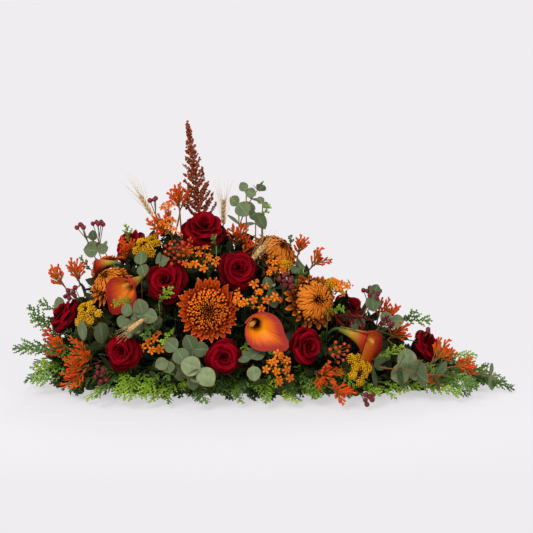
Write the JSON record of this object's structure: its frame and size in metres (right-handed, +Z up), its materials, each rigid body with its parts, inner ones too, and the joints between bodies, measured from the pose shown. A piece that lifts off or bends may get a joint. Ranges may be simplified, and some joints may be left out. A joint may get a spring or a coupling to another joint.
{
  "type": "pyramid funeral arrangement",
  "caption": "Low pyramid of autumn roses, chrysanthemums, callas, berries and greenery with a trailing tail, stems set in floral foam on a tray; stands on a table or casket.",
  "frame": {"origin": "centre of the tray's flat underside", "axes": "+Z up, +X along the tray toward the trailing tail, -Y toward the side it is seen from"},
  "size_m": [1.0387, 0.4313, 0.548],
  "materials": {
    "tray": "dark green moulded plastic, matte",
    "floral_foam": "wet open-cell floral foam, matte",
    "rose_petals": "deep crimson velvety petals",
    "bronze_petals": "red-bronze petals with golden tips",
    "amber_petals": "light bronze petals, satin",
    "calla_spathe": "smooth waxy spathe, orange inside, wine-red rim",
    "cypress_green": "scaly green foliage, semi-matte",
    "eucalyptus_leaf": "grey-green waxy bloom, matte",
    "flame_stems": "downy orange-red, matte",
    "star_flowers": "bright orange petals",
    "yarrow_heads": "granular golden yellow, matte",
    "berry_skin": "burgundy fruit, glossy",
    "straw": "dry straw, matte",
    "rust_plume": "beaded rust-brown plume, matte",
    "wine_plume": "beaded dark wine plume, matte"
  },
  "bodies": {
    "root": {"tray": "tray", "foam": "floral_foam", "rose_top": "rose_petals", "rose_left": "rose_petals", "rose_centre": "rose_petals", "rose_low_left": "rose_petals", "rose_low_centre": "rose_petals", "rose_low_right": "rose_petals", "rose_head": "rose_petals", "rose_tail": "rose_petals", "rose_behind_left": "rose_petals", "rose_behind_right": "rose_petals", "rose_back_left": "rose_petals", "rose_back_centre": "rose_petals", "mum_front": "bronze_petals", "mum_right": "amber_petals", "mum_top_right": "amber_petals", "mum_left": "amber_petals", "mum_far_left": "bronze_petals", "mum_back_left": "amber_petals", "mum_back_right": "bronze_petals", "calla_front": "calla_spathe", "calla_right": "calla_spathe", "calla_left": "calla_spathe", "calla_far_left": "calla_spathe", "berries_low_right": "berry_skin", "cypress_far_left": "cypress_green", "cypress_front_left": "cypress_green", "cypress_front_mid": "cypress_green", "cypress_front_right": "cypress_green", "cypress_near_tail": "cypress_green", "cypress_tail": "cypress_green", "cypress_back_left": "cypress_green", "cypress_back_mid": "cypress_green", "cypress_back_right": "cypress_green", "astilbe": "rust_plume", "amaranth": "wine_plume", "wheat_left": "straw", "wheat_top": "straw", "eucalyptus_top": "eucalyptus_leaf", "eucalyptus_upper_left": "eucalyptus_leaf", "eucalyptus_left": "eucalyptus_leaf", "eucalyptus_low": "eucalyptus_leaf", "eucalyptus_right": "eucalyptus_leaf", "eucalyptus_back": "eucalyptus_leaf", "flame_far_left": "flame_stems", "flame_low_left": "flame_stems", "flame_top": "flame_stems", "flame_right": "flame_stems", "flame_low_right": "flame_stems", "stars_top": "star_flowers", "stars_centre": "star_flowers", "stars_low": "star_flowers", "yarrow_left": "yarrow_heads", "yarrow_top": "yarrow_heads", "yarrow_low": "yarrow_heads", "berries_upper_left": "berry_skin", "berries_centre": "berry_skin", "berries_right": "berry_skin", "berries_low_left": "berry_skin"}
  },
  "joints": []
}
